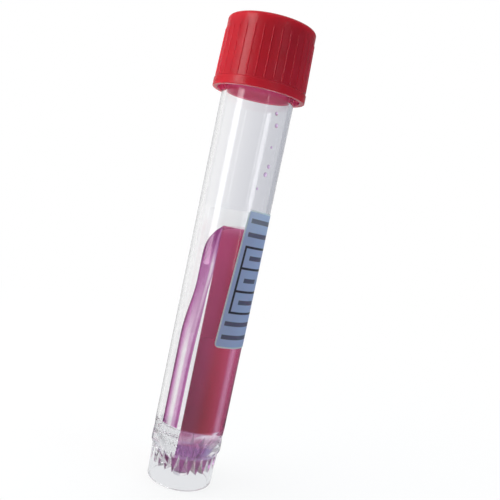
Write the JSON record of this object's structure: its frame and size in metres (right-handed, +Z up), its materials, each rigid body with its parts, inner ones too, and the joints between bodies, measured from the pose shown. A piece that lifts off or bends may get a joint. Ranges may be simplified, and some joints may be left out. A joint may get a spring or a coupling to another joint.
{
  "type": "specimen swab tube",
  "caption": "Clear self-standing specimen tube with a conical bottom, a ribbed red screw cap, a blank form label and a pool of pink transport medium.",
  "frame": {"origin": "centre of the foot's ring, on the surface that the tube stands on", "axes": "+Z up along the tube's axis, from the foot to the cap; -Y faces the viewer, with the label's left edge towards +X"},
  "size_m": [0.0206, 0.0206, 0.1039],
  "materials": {
    "tube": "clear moulded polypropylene, polished",
    "cap": "moulded red polyethylene, satin",
    "seal_ring": "translucent silicone, matt",
    "label": "coated paper, satin",
    "medium": "clear crimson liquid"
  },
  "bodies": {
    "tube": {"tube": "tube", "label": "label", "medium": "medium"},
    "seal": {"seal_ring": "seal_ring"},
    "cap": {"cap": "cap"}
  },
  "joints": [
    {"name": "cap_lift", "type": "slide", "parent": "tube", "child": "seal", "axis": [0, 0, 1], "range_m": [0, 0.0165]},
    {"name": "cap_turn", "type": "hinge", "parent": "seal", "child": "cap", "pos_m": [0, 0, 0.0963], "axis": [0, 0, 1], "range_deg": [0, 1980]}
  ],
  "couplings": [
    {"joint": "cap_lift", "follows": "cap_turn", "m_per_rad": 0.00047746}
  ]
}
